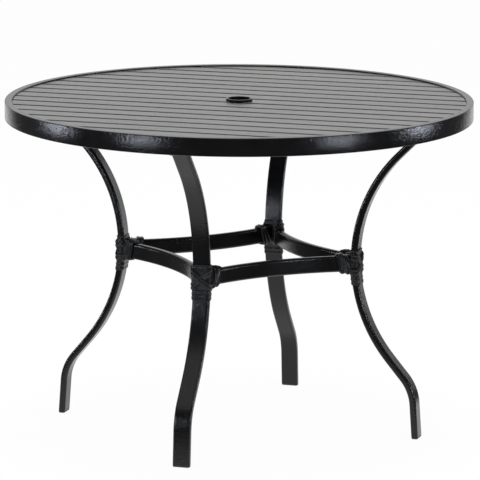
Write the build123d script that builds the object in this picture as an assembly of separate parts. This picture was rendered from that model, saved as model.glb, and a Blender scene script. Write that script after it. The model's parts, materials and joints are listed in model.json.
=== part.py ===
from build123d import *
from build123d.topology import SkipClean
from math import asin, cos, degrees, radians, sin, sqrt
import os

# Round patio dining table: a slatted steel top in a rolled tube rim, with a lift-out
# umbrella ring, on four S-bent flat tube legs tied by four bowed stretchers.
# Origin on the floor under the centre of the top, +Z up, slats along X, legs on the X and Y axes.
# Lengths are millimetres and angles are degrees.

# Rim of the top: a rolled rectangular tube
TOP_DIAMETER = 1016.0
RIM_HEIGHT = 39.0
RIM_WIDTH = 16.0
RIM_WALL = 1.5
RIM_CORNER = 2.0
RIM_STEP = 3.0              # how far the rim stands above the slats
RIM_ARCS = 8                # equal arcs that its faces are kept in

# Slats: roll-formed channels, open underneath
SLAT_COUNT = 17             # an odd number, so that one lies on the middle line
SLAT_GAP = 6.0
SLAT_SIDE_GAP = 6.25        # from the outermost slats to the widest part of the rim
SLAT_DEPTH = 12.5
SLAT_WALL = 0.8
SLAT_EDGE = 3.0             # outer radius of the long edges
SLAT_END_GAP = 1.0          # from the cut ends to the rim
SLAT_SEAT = 6.0             # how far a slat's turned-in lips reach over a rail of its own direction

# Frame under the slats
RAIL_WIDTH = 36.0
RAIL_HEIGHT = 20.0
RAIL_WALL = 1.5
RAIL_CORNER = 2.5
HUB_WALL = 3.5
LEDGE_WIDTH = 16.0
LEDGE_THICKNESS = 2.0

# Umbrella ring: a moulded liner that drops into the middle of the top
POLE_HOLE = 48.0            # diameter of the way through for the umbrella pole
RING_WALL = 2.5
RING_FLANGE = 2.5           # how far the flange reaches past the sleeve
RING_RISE = 5.5             # how far the flange stands above the slats
RING_TAIL = 6.0             # how far the sleeve hangs below the hub
RING_ROUND = 1.5
RING_LEAD = 0.8             # chamfer at the foot of the sleeve

# Legs: one bent flat tube each, from the floor up
LEG_WIDTH = 38.0
LEG_THICKNESS = 15.0
LEG_WALL = 1.2
LEG_CORNER = 5.0
FOOT_STRAIGHT = 75.0
FOOT_SPLAY = 4.0
FOOT_BEND = 100.0
KNEE_ANGLE = 40.0
KNEE_STRAIGHT = 52.0
LOWER_BEND = 335.0
UPPER_BEND = 330.0
TOP_ANGLE = 45.0
TOP_STRAIGHT = 88.0

# Leg plates and their bolts, two to a leg, in rivet nuts set in the rails
PLATE_WIDTH = 38.0
PLATE_THICKNESS = 4.0
PLATE_CORNER = 5.0
PLATE_TOE = 10.0            # plate left inboard of the leg
PLATE_RIM_GAP = 8.0
BOLT_DIAMETER = 6.0
BOLT_HEAD_WIDTH = 10.0      # across flats
BOLT_HEAD_HEIGHT = 4.0
BOLT_EDGE = 12.0            # from the plate's outer end to the outer bolt
BOLT_SPACING = 24.0
BOLT_LEG_GAP = 7.3          # from the leg to the inner bolt's washer
BOLT_HOLE_CLEARANCE = 0.3
WASHER_DIAMETER = 12.0
WASHER_THICKNESS = 1.2
NUT_BODY = 9.0
NUT_FLANGE = 13.0
NUT_FLANGE_THICKNESS = 1.0
NUT_LENGTH = 12.0
THREAD_CLEARANCE = 0.05

# Foot glides: moulded plugs in the ends of the legs
GLIDE_SOLE = 4.0
GLIDE_PLUG = 22.0
GLIDE_INSET = 0.4
GLIDE_CHAMFER = 1.0

# Stretchers: flat tubes on edge, bowed towards the middle
STRETCHER_HEIGHT = 35.0
STRETCHER_THICKNESS = 15.0
STRETCHER_WALL = 1.2
STRETCHER_CORNER = 5.0
STRETCHER_BOW = 31.0
STRETCHER_SPREAD = 2.5      # from a leg's middle plane to the near face of each stretcher
STRETCHER_DROP = 9.0        # below the narrowest point of the legs

# Joint castings: sleeves cast as a cane binding, over each meeting of a leg and two stretchers
CASTING_HEIGHT = 92.0
CASTING_WALL = 1.7
BINDING_PITCH = 9.0
BINDING_WIDTH = 8.4
BINDING_TURNS = 3           # at each end of the sleeve
BINDING_RISE = 0.9          # of a turn above the sleeve
BINDING_TAPER = 14.0
CROSS_ANGLE = 38.0
CROSS_WIDTH = 12.0
CROSS_RISE = 2.0
STUB_LENGTH = 26.0
STUB_WALL = 2.2
STUB_RISES = (1.2, 4.5)     # of the turns on a stub, from its end inwards

# Clearances
WELD_GAP = 0.15             # between curved faces that are welded together
RING_CLEARANCE = 0.5        # round the umbrella ring's sleeve
FIT_CLEARANCE = 0.2         # of castings, glides and rivet nuts

# Heights that follow, from the floor up
FOOT_TOP = FOOT_STRAIGHT * cos(radians(FOOT_SPLAY))
KNEE_LOW = FOOT_TOP + FOOT_BEND * (sin(radians(KNEE_ANGLE)) - sin(radians(FOOT_SPLAY)))
KNEE_HIGH = KNEE_LOW + KNEE_STRAIGHT * cos(radians(KNEE_ANGLE))
WAIST_HEIGHT = KNEE_HIGH + LOWER_BEND * sin(radians(KNEE_ANGLE))
ARC_TOP = WAIST_HEIGHT + UPPER_BEND * sin(radians(TOP_ANGLE))
PLATE_BOTTOM = ARC_TOP + TOP_STRAIGHT * cos(radians(TOP_ANGLE))
PLATE_TOP = PLATE_BOTTOM + PLATE_THICKNESS
RAIL_BOTTOM = PLATE_TOP + NUT_FLANGE_THICKNESS
RAIL_TOP = RAIL_BOTTOM + RAIL_HEIGHT
SLAT_TOP = RAIL_TOP + SLAT_DEPTH
RIM_TOP = SLAT_TOP + RIM_STEP
RIM_BOTTOM = RIM_TOP - RIM_HEIGHT
STRETCHER_LEVEL = WAIST_HEIGHT - STRETCHER_DROP

# Radii that follow, from the rim inwards
RIM_OUTER = TOP_DIAMETER / 2
RIM_INNER = RIM_OUTER - RIM_WIDTH
SLAT_REACH = RIM_INNER - SLAT_END_GAP
LEG_END_HALF = LEG_THICKNESS / 2 / cos(radians(TOP_ANGLE))
PLATE_OUTER = RIM_INNER - PLATE_RIM_GAP
BOLT_RADII = (PLATE_OUTER - BOLT_EDGE, PLATE_OUTER - BOLT_EDGE - BOLT_SPACING)
LEG_TOP_RADIUS = BOLT_RADII[1] - WASHER_DIAMETER / 2 - BOLT_LEG_GAP - LEG_END_HALF
PLATE_INNER = LEG_TOP_RADIUS - LEG_END_HALF - PLATE_TOE
WAIST_RADIUS = (LEG_TOP_RADIUS - TOP_STRAIGHT * sin(radians(TOP_ANGLE))
                - UPPER_BEND * (1 - cos(radians(TOP_ANGLE))))
FOOT_RADIUS = (WAIST_RADIUS + LOWER_BEND * (1 - cos(radians(KNEE_ANGLE)))
               + KNEE_STRAIGHT * sin(radians(KNEE_ANGLE))
               + FOOT_BEND * (cos(radians(FOOT_SPLAY)) - cos(radians(KNEE_ANGLE)))
               + FOOT_STRAIGHT * sin(radians(FOOT_SPLAY)))
POLE_RADIUS = POLE_HOLE / 2
SLEEVE_RADIUS = POLE_RADIUS + RING_WALL
HUB_INNER = SLEEVE_RADIUS + RING_CLEARANCE
HUB_OUTER = max(HUB_INNER + HUB_WALL, RAIL_WIDTH / sqrt(2) + WELD_GAP)

# Plan of a stretcher, from the inner face of the leg on +X to that of the leg on +Y
LEG_FACE = (WAIST_RADIUS + LOWER_BEND - sqrt(LOWER_BEND ** 2 - STRETCHER_DROP ** 2)
            - LEG_THICKNESS / 2)
STRETCHER_OFFSET = STRETCHER_THICKNESS / 2 + STRETCHER_SPREAD
HALF_CHORD = (LEG_FACE - STRETCHER_OFFSET) / sqrt(2)
BOW_RADIUS = (HALF_CHORD ** 2 + STRETCHER_BOW ** 2) / (2 * STRETCHER_BOW)
BOW_CENTRE = (LEG_FACE + STRETCHER_OFFSET) / 2 + (BOW_RADIUS - STRETCHER_BOW) / sqrt(2)
BOW_HALF_ANGLE = degrees(asin(HALF_CHORD / BOW_RADIUS))
BOW_MIDDLE = 225.0
BOW_LEG_REACH = degrees(LEG_THICKNESS / 2 / BOW_RADIUS)

# Slats spread evenly across the rim
SLAT_PITCH = (2 * (RIM_INNER - SLAT_SIDE_GAP) + SLAT_GAP) / SLAT_COUNT
SLAT_WIDTH = SLAT_PITCH - SLAT_GAP
SLATS_EACH_SIDE = SLAT_COUNT // 2
SLAT_LIP = (SLAT_WIDTH - RAIL_WIDTH) / 2 + SLAT_SEAT

SIDES = {"right": 0, "back": 90, "left": 180, "front": 270}
CORNERS = {"back_right": 0, "back_left": 90, "front_left": 180, "front_right": 270}


def tube_section(width, height, corner, wall):
    """A rounded rectangular tube's section."""
    hollow = RectangleRounded(width - 2 * wall, height - 2 * wall, corner - wall)
    return RectangleRounded(width, height, corner) - hollow


def upright(radius, bottom, top, x=0.0, y=0.0):
    """An upright round bar between two heights."""
    bar = Cylinder(radius, top - bottom, align=(Align.CENTER, Align.CENTER, Align.MIN))
    return Pos(x, y, bottom) * bar


def band(shape, bottom, top):
    """The part of a shape between two heights."""
    lower = split(shape, bisect_by=Plane.XY.offset(bottom), keep=Keep.TOP)
    return split(lower, bisect_by=Plane.XY.offset(top), keep=Keep.BOTTOM)


def top_rim():
    """The rolled rim tube, its faces kept in equal arcs so that they all mesh alike."""
    section = tube_section(RIM_WIDTH, RIM_HEIGHT, RIM_CORNER, RIM_WALL)
    middle = Pos(RIM_OUTER - RIM_WIDTH / 2, RIM_BOTTOM + RIM_HEIGHT / 2)
    arc = revolve(Plane.XZ * middle * section, Axis.Z, revolution_arc=360 / RIM_ARCS)
    arcs = [turned(arc, 360 / RIM_ARCS * number).solid() for number in range(RIM_ARCS)]
    with SkipClean():
        return arcs[0].fuse(*arcs[1:])


def slat(row):
    """One slat, with its ends cut to the round of the rim."""
    section = tube_section(SLAT_WIDTH, SLAT_DEPTH, SLAT_EDGE, SLAT_WALL)
    section -= Pos(0, -SLAT_DEPTH / 2) * Rectangle(SLAT_WIDTH - 2 * SLAT_LIP, SLAT_DEPTH)
    place = Plane.YZ * Pos(row * SLAT_PITCH, SLAT_TOP - SLAT_DEPTH / 2)
    bar = extrude(place * section, amount=RIM_OUTER, both=True)
    return bar & upright(SLAT_REACH, RAIL_TOP - 1, SLAT_TOP + 1)


def slats():
    """All the slats, with the middle one cut in two by the umbrella hole."""
    made = {}
    for number, row in enumerate(range(-SLATS_EACH_SIDE, SLATS_EACH_SIDE + 1), start=1):
        name = f"slat_{number:02d}"
        bar = slat(row)
        if row == 0:
            bar -= upright(HUB_INNER, RAIL_TOP - 1, SLAT_TOP + 1)
            bar -= Pos(0, 0, SLAT_TOP) * Box(SLAT_END_GAP, SLAT_PITCH, 4 * SLAT_DEPTH)
            halves = bar.solids().sort_by(Axis.X)
            made[name + "_left"] = halves[0]
            made[name + "_right"] = halves[-1]
        else:
            made[name] = bar
    return made


def support_rail():
    """The rail on +X, from the hub to the rim, with holes for its rivet nuts."""
    section = tube_section(RAIL_WIDTH, RAIL_HEIGHT, RAIL_CORNER, RAIL_WALL)
    rail = extrude(Plane.YZ * Pos(0, RAIL_BOTTOM + RAIL_HEIGHT / 2) * section, amount=RIM_OUTER)
    rail &= upright(RIM_INNER - WELD_GAP, RAIL_BOTTOM - 1, RAIL_TOP + 1)
    rail -= upright(HUB_OUTER + WELD_GAP, RAIL_BOTTOM - 1, RAIL_TOP + 1)
    for radius in BOLT_RADII:
        rail -= upright(NUT_BODY / 2 + FIT_CLEARANCE, RAIL_BOTTOM - 1, RAIL_BOTTOM + RAIL_HEIGHT / 2, radius)
    return rail


def umbrella_hub():
    """The collar in the middle of the rails."""
    return upright(HUB_OUTER, RAIL_BOTTOM, RAIL_TOP) - upright(HUB_INNER, RAIL_BOTTOM - 1, RAIL_TOP + 1)


def slat_ledges():
    """Flat bars inside the rim, between the rails, that carry the ends of the slats."""
    outer = RIM_INNER - WELD_GAP
    bottom = RAIL_TOP - LEDGE_THICKNESS
    ledge = upright(outer, bottom, RAIL_TOP) - upright(outer - LEDGE_WIDTH, bottom - 1, RAIL_TOP + 1)
    way = RAIL_WIDTH + 2 * WELD_GAP
    for length, width in ((TOP_DIAMETER, way), (way, TOP_DIAMETER)):
        ledge -= Pos(0, 0, RAIL_TOP) * Box(length, width, 4 * LEDGE_THICKNESS)
    return ledge.solids()


def umbrella_ring():
    """The liner: a sleeve with a raised, rounded flange."""
    top = SLAT_TOP + RING_RISE
    flange_radius = SLEEVE_RADIUS + RING_FLANGE
    outline = Polyline(
        (POLE_RADIUS, RAIL_BOTTOM - RING_TAIL),
        (POLE_RADIUS, top),
        (flange_radius, top),
        (flange_radius, SLAT_TOP),
        (SLEEVE_RADIUS, SLAT_TOP),
        (SLEEVE_RADIUS, RAIL_BOTTOM - RING_TAIL),
        close=True,
    )
    ring = revolve(Plane.XZ * make_face(outline), Axis.Z)
    rims = ring.edges().filter_by(GeomType.CIRCLE)
    ring = fillet(rims.group_by(Axis.Z)[-1], RING_ROUND)
    foot = ring.edges().filter_by(GeomType.CIRCLE).group_by(Axis.Z)[0]
    return chamfer(foot.sort_by(SortBy.RADIUS)[-1], RING_LEAD)


def leg_line():
    """The centre line of the leg on +X, run on past the floor and past the plate."""
    spare = LEG_THICKNESS
    down = Vector(sin(radians(FOOT_SPLAY)), -cos(radians(FOOT_SPLAY)))
    floor_point = Vector(FOOT_RADIUS, 0)
    foot = Line(floor_point + down * spare, floor_point - down * FOOT_STRAIGHT)
    bend = JernArc(foot @ 1, foot % 1, FOOT_BEND, KNEE_ANGLE - FOOT_SPLAY)
    knee = Line(bend @ 1, bend @ 1 + (bend % 1) * KNEE_STRAIGHT)
    lower = JernArc(knee @ 1, knee % 1, LOWER_BEND, -KNEE_ANGLE)
    upper = JernArc(lower @ 1, lower % 1, UPPER_BEND, -TOP_ANGLE)
    top = Line(upper @ 1, upper @ 1 + (upper % 1) * (TOP_STRAIGHT + spare))
    return Plane.XZ * Wire([part.edge() for part in (foot, bend, knee, lower, upper, top)])


def leg_bar(growth):
    """A solid bar along the leg on +X, larger all round than the tube by the growth."""
    line = leg_line()
    section = RectangleRounded(LEG_WIDTH + 2 * growth, LEG_THICKNESS + 2 * growth, LEG_CORNER + growth)
    return sweep(Plane(line @ 0, x_dir=(0, 1, 0), z_dir=line % 0) * section, path=line)


def leg():
    """The leg on +X, cut level at the glide and at the plate."""
    return band(leg_bar(0) - leg_bar(-LEG_WALL), GLIDE_SOLE, PLATE_BOTTOM)


def foot_glide():
    """The plug in the foot of the leg on +X, with its sole on the floor."""
    sole = band(leg_bar(-GLIDE_INSET), 0, GLIDE_SOLE)
    sole = chamfer(sole.faces().sort_by(Axis.Z)[0].edges(), GLIDE_CHAMFER)
    return sole + band(leg_bar(-LEG_WALL - FIT_CLEARANCE), GLIDE_SOLE, GLIDE_SOLE + GLIDE_PLUG)


def leg_plate():
    """The plate on top of the leg on +X, with its bolt holes."""
    outline = RectangleRounded(PLATE_OUTER - PLATE_INNER, PLATE_WIDTH, PLATE_CORNER)
    plate = extrude(Pos((PLATE_OUTER + PLATE_INNER) / 2, 0, PLATE_BOTTOM) * outline, amount=PLATE_THICKNESS)
    for radius in BOLT_RADII:
        plate -= upright(BOLT_DIAMETER / 2 + BOLT_HOLE_CLEARANCE, PLATE_BOTTOM - 1, PLATE_TOP + 1, radius)
    return plate


def leg_bolt(radius):
    """A hexagon bolt, head down."""
    under_head = PLATE_BOTTOM - WASHER_THICKNESS
    outline = RegularPolygon(BOLT_HEAD_WIDTH / 2, 6, major_radius=False)
    head = extrude(Pos(radius, 0, under_head) * outline, amount=-BOLT_HEAD_HEIGHT)
    return head + upright(BOLT_DIAMETER / 2, under_head, RAIL_BOTTOM + NUT_LENGTH, radius)


def leg_washer(radius):
    """The washer between a bolt head and the plate."""
    disc = upright(WASHER_DIAMETER / 2, PLATE_BOTTOM - WASHER_THICKNESS, PLATE_BOTTOM, radius)
    hole = BOLT_DIAMETER / 2 + BOLT_HOLE_CLEARANCE
    return disc - upright(hole, PLATE_BOTTOM - WASHER_THICKNESS - 1, PLATE_BOTTOM + 1, radius)


def rivet_nut(radius):
    """The rivet nut that a bolt screws into, with its flange under the rail."""
    body = upright(NUT_BODY / 2, RAIL_BOTTOM, RAIL_BOTTOM + NUT_LENGTH, radius)
    body += upright(NUT_FLANGE / 2, PLATE_TOP, RAIL_BOTTOM, radius)
    thread = BOLT_DIAMETER / 2 + THREAD_CLEARANCE
    return body - upright(thread, PLATE_TOP - 1, RAIL_BOTTOM + NUT_LENGTH + 1, radius)


def stretcher_bar(growth, start, sweep_angle):
    """A solid bar along part of the stretcher between +X and +Y, measured from the leg on +X."""
    first = BOW_MIDDLE + BOW_HALF_ANGLE - start
    line = Pos(0, 0, STRETCHER_LEVEL) * CenterArc((BOW_CENTRE, BOW_CENTRE), BOW_RADIUS, first, -sweep_angle)
    section = RectangleRounded(
        STRETCHER_HEIGHT + 2 * growth, STRETCHER_THICKNESS + 2 * growth, STRETCHER_CORNER + growth)
    return sweep(Plane(line @ 0, x_dir=(0, 0, 1), z_dir=line % 0) * section, path=line)


def stretcher(leg_envelope):
    """The stretcher between +X and +Y, with its ends coped to the legs."""
    whole = 2 * (BOW_HALF_ANGLE + BOW_LEG_REACH)
    tube = stretcher_bar(0, -BOW_LEG_REACH, whole) - stretcher_bar(-STRETCHER_WALL, -BOW_LEG_REACH, whole)
    return tube - leg_envelope - Rot(0, 0, 90) * leg_envelope


def leg_station(height):
    """The leg's centre line near the waist: a plane square to it at a height, on its upper side."""
    bend = UPPER_BEND if height > WAIST_HEIGHT else LOWER_BEND
    lean = asin((height - WAIST_HEIGHT) / bend)
    centre = (WAIST_RADIUS + bend * (1 - cos(lean)), 0, height)
    return Plane(centre, x_dir=(0, 1, 0), z_dir=(sin(lean), 0, cos(lean)))


def binding_turn(height):
    """One turn of the binding round the leg, tapered to both edges."""
    growth = CASTING_WALL + BINDING_RISE
    section = RectangleRounded(LEG_WIDTH + 2 * growth, LEG_THICKNESS + 2 * growth, LEG_CORNER + growth)
    upper = leg_station(height)
    lower = Plane(upper.origin, x_dir=upper.x_dir, z_dir=-upper.z_dir)
    return sum((extrude(side * section, amount=BINDING_WIDTH / 2, taper=BINDING_TAPER)
                for side in (upper, lower)), Part())


def joint_casting():
    """The casting round the leg on +X and the ends of its two stretchers."""
    half = CASTING_HEIGHT / 2
    casting = band(leg_bar(CASTING_WALL), STRETCHER_LEVEL - half, STRETCHER_LEVEL + half)
    for number in range(BINDING_TURNS):
        offset = half - BINDING_PITCH * (number + 0.5)
        casting += binding_turn(STRETCHER_LEVEL - offset)
        casting += binding_turn(STRETCHER_LEVEL + offset)
    cross = band(leg_bar(CASTING_WALL + CROSS_RISE), STRETCHER_LEVEL - half, STRETCHER_LEVEL + half)
    strap = Pos(WAIST_RADIUS, 0, STRETCHER_LEVEL)
    for angle in (CROSS_ANGLE, -CROSS_ANGLE):
        casting += cross & strap * Rot(angle, 0, 0) * Box(2 * LEG_WIDTH, 3 * LEG_WIDTH, CROSS_WIDTH)
    stub = stretcher_bar(STUB_WALL, -BOW_LEG_REACH, BOW_LEG_REACH + degrees(STUB_LENGTH / BOW_RADIUS))
    turn_length = degrees(BINDING_PITCH / BOW_RADIUS)
    turn_width = degrees(BINDING_WIDTH / BOW_RADIUS)
    stub_end = degrees(STUB_LENGTH / BOW_RADIUS)
    for number, rise in enumerate(STUB_RISES, start=1):
        stub += stretcher_bar(STUB_WALL + rise, stub_end - turn_length * number, turn_width)
    core = stretcher_bar(FIT_CLEARANCE, -BOW_LEG_REACH, 2 * BOW_HALF_ANGLE)
    casting += stub + mirror(stub, Plane.XZ)
    return casting - leg_bar(FIT_CLEARANCE) - core - mirror(core, Plane.XZ)


def turned(shape, angle):
    """A copy of a shape turned about the middle of the table."""
    return Rot(0, 0, angle) * shape


def four_legs_of(piece):
    """A group of fasteners: both bolt places of each leg."""
    return Compound([turned(piece(radius), angle).solid() for angle in SIDES.values() for radius in BOLT_RADII])


def table():
    """Every piece of the table, by name."""
    pieces = {"top_rim": top_rim(), "umbrella_hub": umbrella_hub(), "umbrella_ring": umbrella_ring()}
    pieces.update(slats())
    for number, ledge in enumerate(slat_ledges(), start=1):
        pieces[f"slat_ledge_{number}"] = ledge
    per_leg = {"support_rail": support_rail(), "leg": leg(), "leg_plate": leg_plate(),
               "foot_glide": foot_glide(), "joint_casting": joint_casting()}
    for name, piece in per_leg.items():
        for side, angle in SIDES.items():
            pieces[f"{name}_{side}"] = turned(piece, angle)
    bar = stretcher(leg_bar(WELD_GAP))
    for corner, angle in CORNERS.items():
        pieces[f"stretcher_{corner}"] = turned(bar, angle)
    pieces["leg_bolts"] = four_legs_of(leg_bolt)
    pieces["leg_washers"] = four_legs_of(leg_washer)
    pieces["rivet_nuts"] = four_legs_of(rivet_nut)
    return pieces


os.makedirs("parts", exist_ok=True)
for name, piece in table().items():
    export_step(piece, f"parts/{name}.step")
print(f"rim top {RIM_TOP:.2f}, waist {WAIST_RADIUS:.2f} at {WAIST_HEIGHT:.2f}, foot {FOOT_RADIUS:.2f}")
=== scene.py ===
import json
from math import copysign, cos, inf, pi, radians, sin, tan

import bmesh
import bpy
from mathutils import Matrix, Vector, noise


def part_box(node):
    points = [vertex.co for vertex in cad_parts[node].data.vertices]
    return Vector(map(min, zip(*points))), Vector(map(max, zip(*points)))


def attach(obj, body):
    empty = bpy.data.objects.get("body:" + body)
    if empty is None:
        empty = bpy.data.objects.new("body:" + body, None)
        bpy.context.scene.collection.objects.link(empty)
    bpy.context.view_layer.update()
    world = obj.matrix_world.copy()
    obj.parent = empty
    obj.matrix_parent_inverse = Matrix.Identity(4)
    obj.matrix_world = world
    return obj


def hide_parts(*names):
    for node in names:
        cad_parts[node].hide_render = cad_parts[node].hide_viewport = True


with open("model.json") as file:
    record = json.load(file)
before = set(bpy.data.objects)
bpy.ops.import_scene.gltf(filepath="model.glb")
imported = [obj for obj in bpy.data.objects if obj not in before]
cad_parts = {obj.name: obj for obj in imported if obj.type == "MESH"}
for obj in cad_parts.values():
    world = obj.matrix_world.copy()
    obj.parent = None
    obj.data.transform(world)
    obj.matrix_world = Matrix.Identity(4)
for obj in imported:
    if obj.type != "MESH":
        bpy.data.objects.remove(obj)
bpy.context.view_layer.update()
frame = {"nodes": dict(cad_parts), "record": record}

NODES = frame["nodes"]
SIDES = {"right": 0, "back": 90, "left": 180, "front": 270}

# Camera, as fitted to the photograph: where it stands, and where its target lies in the picture
CAMERA_AZIMUTH = radians(17.04)
CAMERA_ELEVATION = radians(11.38)
CAMERA_ROLL = radians(0.21)
CAMERA_DISTANCE = 9.29
CAMERA_TARGET = Vector((0.0, 0.0, 0.3524))
PHOTO_SIZE = 480
PIXELS_PER_METRE = 457.9
TARGET_PIXEL = (238.7, 267.0)
SENSOR = 36.0
CAMERA_CLIP_END = 100

# Studio lamps: strips and a box overhead, with bearings in degrees from the camera's own
LAMP_AIM = 0.62
LAMP_BEARINGS = {"key_left": -44, "key_right": 45, "side_left": -91, "side_right": 90}
LAMP_ELEVATION = 0
LAMP_DISTANCE = 2.7
LAMP_WIDTH = 0.14
LAMP_HEIGHT = 0.56
LAMP_POWER = 11
LAMP_COLOUR = (0.83, 0.87, 1.0)
OVERHEAD_BEARING = 180
OVERHEAD_ELEVATION = 80
OVERHEAD_DISTANCE = 3.3
OVERHEAD_SIZE = 2.2
OVERHEAD_POWER = 30
OVERHEAD_COLOUR = (1.0, 0.98, 0.96)

# Studio room: the world's light, the dark card and the floor
ROOM_DIFFUSE = 0.6
CARD_TONE = 0.11
CARD_NEAR = 0.75
CARD_FAR = 2.9
CARD_HEIGHT = 2.4
CARD_SPREAD = 140
CARD_STEP = 4
FLOOR_SIZE = 60
FLOOR_DROP = 0.0004
FLOOR_TONE = 0.62
FLOOR_SEEN_TONE = 0.09
FLOOR_GLOW = 0.94

# Where the values of a noise texture mostly lie
NOISE_LOW = 0.3
NOISE_HIGH = 0.7

# Powder coat's orange peel and the rolled faces, in metres
PEEL_DEPTH = 0.00035
RIM_PEEL_DEPTH = 0.0005
RIM_CROWN = 0.0013
SLAT_EDGE = 0.0052
SLAT_EDGE_DROP = 0.0031

# Legs, stretchers and the binding of their joints: lengths in metres, turns in radians
LEG_WIDTH = 0.038
LEG_THICKNESS = 0.015
LEG_TOP_ANGLE = radians(45)
SLEEVE_WALL = 0.0017
STRETCHER_HEIGHT = 0.035
STRETCHER_THICKNESS = 0.015
STUB_WALL = 0.0022
STUB_OFFSET = 0.010
STUB_TURN = radians(25)
STUB_CLEAR = 0.0055
STUB_REACH = 0.026
SLEEVE_TOP = 0.031
CROSS_LEAN = radians(38)
CROSS_PITCH = 0.0062
CROSS_RISE = 0.0030
STRIP_STEPS = 48
STRIP_SUNK = 0.0018
STRIP_SHOULDER = 0.45
SQUARENESS = 0.4
VOXEL = 0.0007
MELT_STEPS = 4
MELT_FACTOR = 0.5
LUMP_SIZE = 0.006
LUMP_RISE = 0.0003
GRIT_SIZE = 0.0016
GRIT_RISE = 0.0001

# Each strip on a stub: its distance from the leg, width, lean and rise
STUB_STRIPS = (
    (0.012, 0.0090, 0.0130, 0.0046),
    (0.021, 0.0090, 0.0110, 0.0038),
    (0.027, 0.0090, 0.0050, 0.0024),
)

# Weld beads under the top: lengths in metres, ripple as a share of the radius
BEAD_RADIUS = 0.0016
BEAD_STEP = 0.0015
BEAD_ROUNDNESS = 2
RAIL_BEAD_INNER = 0.0055
RAIL_BEAD_OUTER = 0.0005
RAIL_BEAD_SHORT = 0.004
LEG_BEAD_STEPS = 32
LEG_BEAD_SQUARENESS = 1.25
TACK_LENGTH = 0.007
TACK_INSET = 0.008
WANDER_SIZE = 0.01
WANDER = 0.0003
RIPPLE = 0.16
RIPPLE_TURN = 2.1


def node_input(shader, name, value):
    """Sets one of a shader's own sockets."""
    shader.inputs[name].default_value = value


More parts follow.
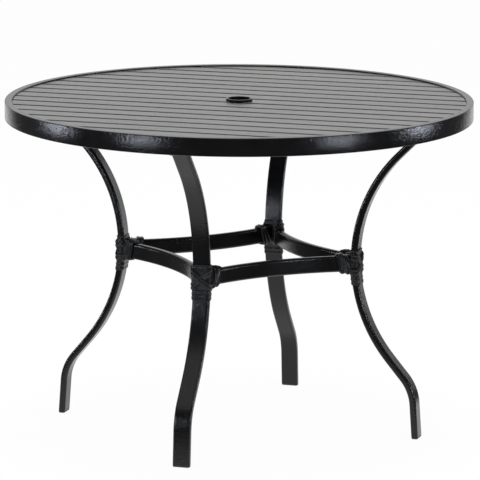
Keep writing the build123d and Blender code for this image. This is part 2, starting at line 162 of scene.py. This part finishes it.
class Finish:
    """A material being built: a principled shader with helpers for its textures."""

    def __init__(self, name):
        self.material = bpy.data.materials.new(name)
        self.material.use_nodes = True
        self.tree = self.material.node_tree
        self.shader = self.tree.nodes["Principled BSDF"]
        self.place = self.tree.nodes.new("ShaderNodeTexCoord").outputs["Object"]

    def link(self, source, target):
        self.tree.links.new(source, target)

    def noise(self, scale, detail=2.0, roughness=0.5, stretch=(1, 1, 1)):
        """A noise texture in the object's own metres, stretched along its axes."""
        mapping = self.tree.nodes.new("ShaderNodeMapping")
        mapping.inputs["Scale"].default_value = stretch
        texture = self.tree.nodes.new("ShaderNodeTexNoise")
        texture.inputs["Scale"].default_value = scale
        texture.inputs["Detail"].default_value = detail
        texture.inputs["Roughness"].default_value = roughness
        self.link(self.place, mapping.inputs["Vector"])
        self.link(mapping.outputs["Vector"], texture.inputs["Vector"])
        return texture.outputs["Fac"]

    def colours(self, source, dark, light, low=NOISE_LOW, high=NOISE_HIGH):
        """The base colour, running from dark to light with a texture."""
        ramp = self.tree.nodes.new("ShaderNodeValToRGB")
        ramp.color_ramp.elements[0].position = low
        ramp.color_ramp.elements[1].position = high
        ramp.color_ramp.elements[0].color = (*dark, 1)
        ramp.color_ramp.elements[1].color = (*light, 1)
        self.link(source, ramp.inputs["Fac"])
        self.link(ramp.outputs["Color"], self.shader.inputs["Base Color"])

    def roughness(self, source, low, high):
        """The roughness, running between two values with a texture."""
        spread = self.tree.nodes.new("ShaderNodeMapRange")
        spread.inputs["From Min"].default_value = NOISE_LOW
        spread.inputs["From Max"].default_value = NOISE_HIGH
        spread.inputs["To Min"].default_value = low
        spread.inputs["To Max"].default_value = high
        self.link(source, spread.inputs["Value"])
        self.link(spread.outputs["Result"], self.shader.inputs["Roughness"])

    def math(self, operation, *values):
        """A value worked out from textures and plain numbers."""
        node = self.tree.nodes.new("ShaderNodeMath")
        node.operation = operation
        for socket, value in zip(node.inputs, values):
            if isinstance(value, (int, float)):
                socket.default_value = value
            else:
                self.link(value, socket)
        return node.outputs[0]

    def coordinate(self, letter):
        """One of the object's own coordinates, in metres."""
        parts = self.tree.nodes.new("ShaderNodeSeparateXYZ")
        self.link(self.place, parts.inputs[0])
        return parts.outputs[letter]

    def crown(self, low, high):
        """A height that is greatest midway between two levels, for a face that bulges a little."""
        middle = (low + high) / 2
        away = self.math("SUBTRACT", self.coordinate("Z"), middle)
        share = self.math("DIVIDE", away, high - middle)
        return self.math("SUBTRACT", 1, self.math("MULTIPLY", share, share))

    def rolled_edges(self, pitch, width):
        """A height that falls away along both edges of slats laid side by side across Y."""
        count = self.math("ADD", self.math("DIVIDE", self.coordinate("Y"), pitch), 0.5)
        offset = self.math("ABSOLUTE", self.math("SUBTRACT", self.math("FRACT", count), 0.5))
        past = self.math("SUBTRACT", self.math("MULTIPLY", offset, pitch), width / 2 - SLAT_EDGE)
        share = self.math("DIVIDE", self.math("MAXIMUM", past, 0), SLAT_EDGE)
        return self.math("SUBTRACT", 1, self.math("MULTIPLY", share, share))

    def vector_math(self, operation, *values):
        """A vector, or a dot product, worked out from textures and plain vectors."""
        node = self.tree.nodes.new("ShaderNodeVectorMath")
        node.operation = operation
        for socket, value in zip(node.inputs, values):
            if isinstance(value, tuple):
                socket.default_value = value
            else:
                self.link(value, socket)
        return node.outputs["Value" if operation == "DOT_PRODUCT" else "Vector"]

    def ring_normal(self):
        """The face's normal with its level part turned straight out from the Z axis, as on a true ring."""
        face = self.tree.nodes.new("ShaderNodeNewGeometry").outputs["Normal"]
        level_place = self.vector_math("MULTIPLY", self.place, (1, 1, 0))
        out = self.vector_math("NORMALIZE", level_place)
        level = self.vector_math("MULTIPLY", out, self.vector_math("DOT_PRODUCT", face, out))
        rise = self.vector_math("MULTIPLY", face, (0, 0, 1))
        return self.vector_math("NORMALIZE", self.vector_math("ADD", level, rise))

    def bumps(self, *layers, normal=None):
        """Bump from textures, each with its depth in metres and its strength, on a normal if given."""
        for source, depth, strength in layers:
            bump = self.tree.nodes.new("ShaderNodeBump")
            bump.inputs["Distance"].default_value = depth
            bump.inputs["Strength"].default_value = strength
            self.link(source, bump.inputs["Height"])
            if normal is not None:
                self.link(normal, bump.inputs["Normal"])
            normal = bump.outputs["Normal"]
        self.link(normal, self.shader.inputs["Normal"])


def powder_coat(name, peel_depth, bulge=None):
    """Gloss black powder coat with an orange peel; given two levels, on a ring that bulges between them."""
    finish = Finish(name)
    cloud = finish.noise(scale=22, detail=3)
    peel = finish.noise(scale=310, detail=1)
    grain = finish.noise(scale=1100, detail=1)
    finish.colours(cloud, dark=(0.0035, 0.0036, 0.0040), light=(0.0070, 0.0072, 0.0078))
    finish.roughness(grain, low=0.10, high=0.20)
    layers = [(peel, peel_depth, 1.0), (grain, 0.00025, 0.35)]
    normal = None
    if bulge is not None:
        layers.insert(0, (finish.crown(*bulge), RIM_CROWN, 1.0))
        normal = finish.ring_normal()
    finish.bumps(*layers, normal=normal)
    node_input(finish.shader, "Specular IOR Level", 0.38)
    return finish.material


def slat_coat():
    """Satin charcoal coat on the slats, with a drawn grain along each slat and rolled edges."""
    finish = Finish("charcoal_slat_coat")
    low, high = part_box("slat_08")
    next_low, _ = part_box("slat_09_left")
    edges = finish.rolled_edges(pitch=abs(next_low[1] - low[1]), width=high[1] - low[1])
    drawn = finish.noise(scale=1.0, detail=4, roughness=0.62, stretch=(5, 170, 170))
    streak = finish.noise(scale=1.0, detail=2, stretch=(9, 620, 620))
    grain = finish.noise(scale=900, detail=1)
    finish.colours(drawn, dark=(0.058, 0.059, 0.057), light=(0.142, 0.143, 0.139), low=0.36, high=0.64)
    finish.roughness(streak, low=0.20, high=0.32)
    finish.bumps((edges, SLAT_EDGE_DROP, 1.0), (drawn, 0.0004, 0.20),
                 (streak, 0.00025, 0.25), (grain, 0.00012, 0.20))
    node_input(finish.shader, "Specular IOR Level", 0.8)
    return finish.material


def cast_coat():
    """The powder coat where it lies thicker and duller over the binding castings."""
    finish = Finish("black_cast_coat")
    cloud = finish.noise(scale=60, detail=3)
    grain = finish.noise(scale=900, detail=2)
    finish.colours(cloud, dark=(0.004, 0.004, 0.0045), light=(0.009, 0.009, 0.0095))
    finish.roughness(cloud, low=0.24, high=0.42)
    finish.bumps((cloud, 0.0005, 0.25), (grain, 0.0002, 0.35))
    node_input(finish.shader, "Specular IOR Level", 0.42)
    return finish.material


def ring_plastic():
    """Gloss moulded plastic of the umbrella ring, with faint handling marks."""
    finish = Finish("ring_gloss_plastic")
    cloud = finish.noise(scale=70, detail=3)
    marks = finish.noise(scale=1.0, detail=2, stretch=(500, 500, 60))
    finish.colours(cloud, dark=(0.006, 0.006, 0.0065), light=(0.011, 0.011, 0.012))
    finish.roughness(cloud, low=0.10, high=0.20)
    finish.bumps((marks, 0.00008, 0.15))
    node_input(finish.shader, "Specular IOR Level", 0.30)
    return finish.material


def glide_plastic():
    """Matt moulded plastic of the foot glides, scuffed."""
    finish = Finish("glide_matt_plastic")
    cloud = finish.noise(scale=120, detail=4)
    grain = finish.noise(scale=1500, detail=1)
    finish.colours(cloud, dark=(0.010, 0.010, 0.010), light=(0.024, 0.024, 0.025))
    finish.roughness(cloud, low=0.45, high=0.65)
    finish.bumps((grain, 0.0002, 0.4))
    return finish.material


def plated_steel():
    """Zinc-plated fasteners."""
    finish = Finish("zinc_plate")
    cloud = finish.noise(scale=300, detail=3)
    grain = finish.noise(scale=1800, detail=1)
    finish.colours(cloud, dark=(0.36, 0.36, 0.37), light=(0.56, 0.56, 0.55))
    finish.roughness(cloud, low=0.28, high=0.48)
    finish.bumps((grain, 0.0001, 0.3))
    node_input(finish.shader, "Metallic", 1.0)
    return finish.material


def dress_nodes(coats):
    """Gives each CAD node the finish of its record slot."""
    slots = {row["node"]: row["material_slot"] for row in frame["record"]["subparts"]}
    for name, node in NODES.items():
        node.data.materials.clear()
        node.data.materials.append(coats[slots[name]])


def add_piece(name, data, coat):
    """A new piece of the table's fixed body."""
    piece = bpy.data.objects.new(name, data)
    bpy.context.scene.collection.objects.link(piece)
    piece.data.materials.clear()
    piece.data.materials.append(coat)
    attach(piece, "table")
    return piece


def softened(mesh):
    """A mesh as a fine, evenly meshed skin with its pieces joined and its edges melted round."""
    draft = bpy.data.objects.new("draft", mesh)
    bpy.context.scene.collection.objects.link(draft)
    remesh = draft.modifiers.new("fine", "REMESH")
    remesh.mode = "VOXEL"
    remesh.voxel_size = VOXEL
    smooth = draft.modifiers.new("melt", "SMOOTH")
    smooth.factor = MELT_FACTOR
    smooth.iterations = MELT_STEPS
    graph = bpy.context.evaluated_depsgraph_get()
    skin = bpy.data.meshes.new_from_object(draft.evaluated_get(graph))
    bpy.data.objects.remove(draft)
    return skin


def add_strip(shape, centre, axes, half_sizes, width, lean, rise, stop=inf):
    """Adds a closed, crowned strip round a bar to a mesh, leaning along the bar and cut off past an X."""
    axis, across, up = axes
    half_across, half_up = half_sizes
    shoulder = STRIP_SHOULDER * rise
    profile = ((-0.5, -STRIP_SUNK), (0.5, -STRIP_SUNK), (0.5, shoulder), (0.0, rise), (-0.5, shoulder))
    rings = []
    for step in range(STRIP_STEPS):
        angle = 2 * pi * step / STRIP_STEPS
        side = copysign(abs(cos(angle)) ** SQUARENESS, cos(angle))
        height = copysign(abs(sin(angle)) ** SQUARENESS, sin(angle))
        ring = []
        for share, out in profile:
            place = centre + axis * (share * width + lean * height)
            place += across * side * (half_across + out) + up * height * (half_up + out)
            place.x = min(place.x, stop)
            ring.append(shape.verts.new(place))
        rings.append(ring)
    for ring, following in zip(rings, rings[1:] + rings[:1]):
        for number, corner in enumerate(ring):
            after = (number + 1) % len(ring)
            shape.faces.new((corner, ring[after], following[after], following[number]))


def stub_frame(side, level, leg_face):
    """Where a stretcher meets the leg on +X, and its directions along, across and up."""
    start = Vector((leg_face, side * STUB_OFFSET, level))
    axis = Vector((-cos(STUB_TURN), side * sin(STUB_TURN), 0))
    up = Vector((0, 0, 1))
    return start, (axis, up.cross(axis), up)


def flatten_stubs(shape, level, leg_face, half_sizes):
    """Takes the cast turns on the stubs down to the wall, to make room for strips."""
    half_across, half_up = half_sizes
    for vertex in shape.verts:
        rise = vertex.co.z - level
        if leg_face - vertex.co.x < STUB_CLEAR or abs(rise) > STUB_REACH:
            continue
        start, (axis, across, up) = stub_frame(copysign(1, vertex.co.y), level, leg_face)
        place = vertex.co - start
        side = max(-half_across, min(half_across, place.dot(across)))
        height = max(-half_up, min(half_up, rise))
        vertex.co = start + axis * place.dot(axis) + across * side + up * height


def bound_casting():
    """The casting of the leg on +X, with strips that cross over the leg and lean round the stretchers."""
    low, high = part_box("stretcher_back_right")
    level = (low[2] + high[2]) / 2
    leg_face = high[0]
    leg_half = (LEG_THICKNESS / 2 + SLEEVE_WALL, LEG_WIDTH / 2 + SLEEVE_WALL)
    stub_half = (STRETCHER_THICKNESS / 2 + STUB_WALL, STRETCHER_HEIGHT / 2 + STUB_WALL)
    shape = bmesh.new()
    shape.from_mesh(NODES["joint_casting_right"].data)
    flatten_stubs(shape, level, leg_face, stub_half)
    for vertex in shape.verts:
        vertex.co.z = min(vertex.co.z, level + SLEEVE_TOP)
    leg_axes = (Vector((0, 0, 1)), Vector((1, 0, 0)), Vector((0, 1, 0)))
    strip_width = CROSS_PITCH / cos(CROSS_LEAN)
    for lean in (CROSS_LEAN, -CROSS_LEAN):
        for row in (-0.5, 0.5):
            centre = Vector((leg_face + LEG_THICKNESS / 2, 0, level + row * strip_width))
            add_strip(shape, centre, leg_axes, leg_half, strip_width, leg_half[1] * tan(lean), CROSS_RISE)
    for side in (1, -1):
        start, axes = stub_frame(side, level, leg_face)
        for reach, width, lean, rise in STUB_STRIPS:
            add_strip(shape, start + axes[0] * reach, axes, stub_half, width, lean, rise, leg_face)
    mesh = bpy.data.meshes.new("draft")
    shape.to_mesh(mesh)
    shape.free()
    return softened(mesh)


def bind_joints(coat):
    """The four joints' castings, lumpy as bound cane is under its coat."""
    mesh = bound_casting()
    moved = []
    for vertex in mesh.vertices:
        lumps = noise.noise(vertex.co / LUMP_SIZE) * LUMP_RISE
        grit = noise.noise(vertex.co / GRIT_SIZE) * GRIT_RISE
        moved.append(vertex.co + vertex.normal * (lumps + grit))
    for vertex, place in zip(mesh.vertices, moved):
        vertex.co = place
    for polygon in mesh.polygons:
        polygon.use_smooth = True
    for side, angle in SIDES.items():
        copy = mesh.copy()
        copy.transform(Matrix.Rotation(radians(angle), 4, "Z"))
        piece = add_piece(f"binding_{side}", copy, coat)
        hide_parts(f"joint_casting_{side}")


def along(points):
    """Points a bead's step apart along a line of corners."""
    spaced = []
    for start, end in zip(points, points[1:]):
        steps = max(1, round((end - start).length / BEAD_STEP))
        spaced += [start.lerp(end, step / steps) for step in range(steps)]
    return spaced + [points[-1]]


def weld_lines():
    """Where the frame under the top is welded: each line in the frame of the leg on +X."""
    rail_low, rail_high = (Vector(corner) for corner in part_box("support_rail_right"))
    plate_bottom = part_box("leg_plate_right")[0][2]
    leg_low, leg_high = (Vector(corner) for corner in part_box("leg_right"))
    lines = []
    top = rail_high.z - RAIL_BEAD_SHORT
    corners = ((rail_low.y, top), (rail_low.y, rail_low.z), (rail_high.y, rail_low.z), (rail_high.y, top))
    for x in (rail_low.x + RAIL_BEAD_INNER, rail_high.x - RAIL_BEAD_OUTER):
        lines.append([Vector((x, y, z)) for y, z in corners])
    end = LEG_THICKNESS / 2 / cos(LEG_TOP_ANGLE)
    middle = leg_high.x - end
    round_leg = []
    for turn in range(LEG_BEAD_STEPS + 1):
        angle = 2 * pi * turn / LEG_BEAD_STEPS
        reach_x = max(-end, min(end, LEG_BEAD_SQUARENESS * end * cos(angle)))
        reach_y = max(leg_low.y, min(leg_high.y, LEG_BEAD_SQUARENESS * leg_high.y * sin(angle)))
        round_leg.append(Vector((middle + reach_x, reach_y, plate_bottom)))
    lines.append(round_leg)
    return lines


def tack_lines():
    """Short tacks where each slat crosses the rails that run under it from front to back."""
    rail_low, rail_high = (Vector(corner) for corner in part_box("support_rail_back"))
    half = TACK_LENGTH / 2
    lines = []
    for name in NODES:
        if not name.startswith("slat_") or name.startswith(("slat_ledge", "slat_09")):
            continue
        low, high = (Vector(corner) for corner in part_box(name))
        for x in (rail_low.x, rail_high.x):
            for y, reach in ((low.y + TACK_INSET, -half), (high.y - TACK_INSET, half)):
                lines.append([Vector((x, end, rail_high.z)) for end in (y - reach, y + reach)])
    return lines


def weld_beads(coat):
    """The weld beads under the top, rippled along their length."""
    curve = bpy.data.curves.new("frame_welds", "CURVE")
    curve.dimensions = "3D"
    curve.bevel_depth = BEAD_RADIUS
    curve.bevel_resolution = BEAD_ROUNDNESS
    curve.use_fill_caps = True
    runs = [(line, angle) for line in weld_lines() for angle in SIDES.values()]
    runs += [(line, 0) for line in tack_lines()]
    for line, angle in runs:
        turn = Matrix.Rotation(radians(angle), 4, "Z")
        points = along([turn @ corner for corner in line])
        spline = curve.splines.new("POLY")
        spline.points.add(len(points) - 1)
        for number, (target, place) in enumerate(zip(spline.points, points)):
            wander = noise.noise_vector(place / WANDER_SIZE) * WANDER
            target.co = (*(place + wander), 1)
            target.radius = 1.0 + RIPPLE * sin(number * RIPPLE_TURN)
    add_piece("frame_welds", curve, coat)


def bare_tree(owner):
    """The node tree of a material or a world, emptied."""
    owner.use_nodes = True
    owner.node_tree.nodes.clear()
    return owner.node_tree


def seen_ray(tree):
    """1 for rays from the camera, from gloss and through glass, and 0 for the rest."""
    path = tree.nodes.new("ShaderNodeLightPath")
    total = path.outputs["Is Camera Ray"]
    for name in ("Is Glossy Ray", "Is Transmission Ray"):
        add = tree.nodes.new("ShaderNodeMath")
        add.operation = "MAXIMUM"
        tree.links.new(total, add.inputs[0])
        tree.links.new(path.outputs[name], add.inputs[1])
        total = add.outputs[0]
    return total


def studio_floor():
    """A pale floor, white to the camera and in reflections but for a soft shadow, and clear from below."""
    bpy.ops.mesh.primitive_plane_add(size=FLOOR_SIZE, location=(0, 0, -FLOOR_DROP))
    floor_plane = bpy.context.object
    floor_plane.name = "studio_floor"
    material = bpy.data.materials.new("studio_floor")
    tree = bare_tree(material)
    output = tree.nodes.new("ShaderNodeOutputMaterial")
    matt = tree.nodes.new("ShaderNodeBsdfDiffuse")
    matt.inputs["Color"].default_value = (FLOOR_TONE, FLOOR_TONE, FLOOR_TONE, 1)
    shaded = tree.nodes.new("ShaderNodeBsdfDiffuse")
    shaded.inputs["Color"].default_value = (FLOOR_SEEN_TONE, FLOOR_SEEN_TONE, FLOOR_SEEN_TONE, 1)
    glow = tree.nodes.new("ShaderNodeEmission")
    glow.inputs["Strength"].default_value = FLOOR_GLOW
    seen = tree.nodes.new("ShaderNodeAddShader")
    tree.links.new(shaded.outputs[0], seen.inputs[0])
    tree.links.new(glow.outputs[0], seen.inputs[1])
    pick = tree.nodes.new("ShaderNodeMixShader")
    tree.links.new(seen_ray(tree), pick.inputs["Fac"])
    tree.links.new(matt.outputs[0], pick.inputs[1])
    tree.links.new(seen.outputs[0], pick.inputs[2])
    clear = tree.nodes.new("ShaderNodeBsdfTransparent")
    open_below = tree.nodes.new("ShaderNodeMixShader")
    below = tree.nodes.new("ShaderNodeNewGeometry").outputs["Backfacing"]
    tree.links.new(below, open_below.inputs["Fac"])
    tree.links.new(pick.outputs[0], open_below.inputs[1])
    tree.links.new(clear.outputs[0], open_below.inputs[2])
    tree.links.new(open_below.outputs[0], output.inputs["Surface"])
    floor_plane.data.materials.append(material)


def studio_card():
    """A dark card round the camera's side, on the floor and up, that only shows in reflections."""
    foot = Vector((0, 0, FLOOR_DROP))
    head = Vector((0, 0, CARD_HEIGHT))
    corners = []
    for degree in range(-CARD_SPREAD, CARD_SPREAD + 1, CARD_STEP):
        bearing = CAMERA_AZIMUTH + radians(degree)
        out = Vector((sin(bearing), -cos(bearing), 0))
        corners.append([out * CARD_NEAR + foot, out * CARD_FAR + foot, out * CARD_FAR + head])
    vertices = [corner for row in corners for corner in row]
    across = len(corners[0])
    faces = []
    for row in range(len(corners) - 1):
        for step in range(across - 1):
            first = across * row + step
            faces.append((first, first + 1, first + across + 1, first + across))
    mesh = bpy.data.meshes.new("studio_card")
    mesh.from_pydata(vertices, [], faces)
    material = bpy.data.materials.new("studio_card")
    tree = bare_tree(material)
    output = tree.nodes.new("ShaderNodeOutputMaterial")
    tone = tree.nodes.new("ShaderNodeEmission")
    tone.inputs["Strength"].default_value = CARD_TONE
    tree.links.new(tone.outputs[0], output.inputs["Surface"])
    mesh.materials.append(material)
    card = bpy.data.objects.new("studio_card", mesh)
    bpy.context.scene.collection.objects.link(card)
    card.visible_camera = False
    card.visible_diffuse = False
    card.visible_shadow = False


def studio_world():
    """A white room: white to the camera and in reflections, softer as a light."""
    world = bpy.data.worlds.new("studio")
    bpy.context.scene.world = world
    tree = bare_tree(world)
    output = tree.nodes.new("ShaderNodeOutputWorld")
    white = tree.nodes.new("ShaderNodeBackground")
    white.inputs["Strength"].default_value = 1.0
    soft = tree.nodes.new("ShaderNodeBackground")
    soft.inputs["Strength"].default_value = ROOM_DIFFUSE
    pick = tree.nodes.new("ShaderNodeMixShader")
    tree.links.new(seen_ray(tree), pick.inputs["Fac"])
    tree.links.new(soft.outputs[0], pick.inputs[1])
    tree.links.new(white.outputs[0], pick.inputs[2])
    tree.links.new(pick.outputs[0], output.inputs["Surface"])


def soft_box(name, azimuth, elevation, distance, width, height, power, colour):
    """A soft box turned to the table, placed by its bearing from the camera's own."""
    bearing = CAMERA_AZIMUTH + radians(azimuth)
    rise = radians(elevation)
    aim = Vector((0, 0, LAMP_AIM))
    lamp = bpy.data.lights.new(name, "AREA")
    lamp.shape = "RECTANGLE"
    lamp.size = width
    lamp.size_y = height
    lamp.energy = power
    lamp.color = colour
    holder = bpy.data.objects.new(name, lamp)
    away = Vector((sin(bearing) * cos(rise), -cos(bearing) * cos(rise), sin(rise)))
    holder.location = aim + away * distance
    holder.rotation_euler = away.to_track_quat("Z", "Y").to_euler()
    holder.visible_camera = False
    bpy.context.scene.collection.objects.link(holder)


def studio_lamps():
    """Four upright strips, two in front and two at the sides, and one box overhead."""
    for name, bearing in LAMP_BEARINGS.items():
        soft_box(name, bearing, LAMP_ELEVATION, LAMP_DISTANCE,
                 LAMP_WIDTH, LAMP_HEIGHT, LAMP_POWER, LAMP_COLOUR)
    soft_box("overhead", OVERHEAD_BEARING, OVERHEAD_ELEVATION, OVERHEAD_DISTANCE,
             OVERHEAD_SIZE, OVERHEAD_SIZE, OVERHEAD_POWER, OVERHEAD_COLOUR)


def photo_camera():
    """The camera where the photograph was taken from."""
    back = Vector((sin(CAMERA_AZIMUTH) * cos(CAMERA_ELEVATION),
                   -cos(CAMERA_AZIMUTH) * cos(CAMERA_ELEVATION), sin(CAMERA_ELEVATION)))
    right = Vector((0, 0, 1)).cross(back).normalized()
    up = back.cross(right)
    eye = CAMERA_TARGET + back * CAMERA_DISTANCE
    offset_right = (PHOTO_SIZE / 2 - TARGET_PIXEL[0]) / PIXELS_PER_METRE
    offset_up = (TARGET_PIXEL[1] - PHOTO_SIZE / 2) / PIXELS_PER_METRE
    aim = CAMERA_TARGET + right * offset_right + up * offset_up
    back = (eye - aim).normalized()
    right = Vector((0, 0, 1)).cross(back).normalized()
    up = back.cross(right)
    right, up = (right * cos(CAMERA_ROLL) + up * sin(CAMERA_ROLL),
                 up * cos(CAMERA_ROLL) - right * sin(CAMERA_ROLL))
    data = bpy.data.cameras.new("photo_camera")
    data.sensor_width = SENSOR
    data.lens = PIXELS_PER_METRE * CAMERA_DISTANCE * SENSOR / PHOTO_SIZE
    data.clip_end = CAMERA_CLIP_END
    camera = bpy.data.objects.new("photo_camera", data)
    camera.matrix_world = Matrix((
        (right.x, up.x, back.x, eye.x),
        (right.y, up.y, back.y, eye.y),
        (right.z, up.z, back.z, eye.z),
        (0, 0, 0, 1)))
    bpy.context.scene.collection.objects.link(camera)
    bpy.context.scene.camera = camera


black = powder_coat("black_powder_coat", PEEL_DEPTH)
casting = cast_coat()
dress_nodes({
    "frame_steel": black,
    "slat_steel": slat_coat(),
    "cast_metal": casting,
    "ring_plastic": ring_plastic(),
    "glide_plastic": glide_plastic(),
    "fastener_steel": plated_steel(),
})
rim_low, rim_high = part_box("top_rim")
rim_coat = powder_coat("rim_powder_coat", RIM_PEEL_DEPTH, bulge=(rim_low[2], rim_high[2]))
NODES["top_rim"].data.materials[0] = rim_coat
bind_joints(casting)
weld_beads(black)
studio_floor()
studio_card()
studio_world()
studio_lamps()
photo_camera()
bpy.context.scene.view_settings.view_transform = "Standard"
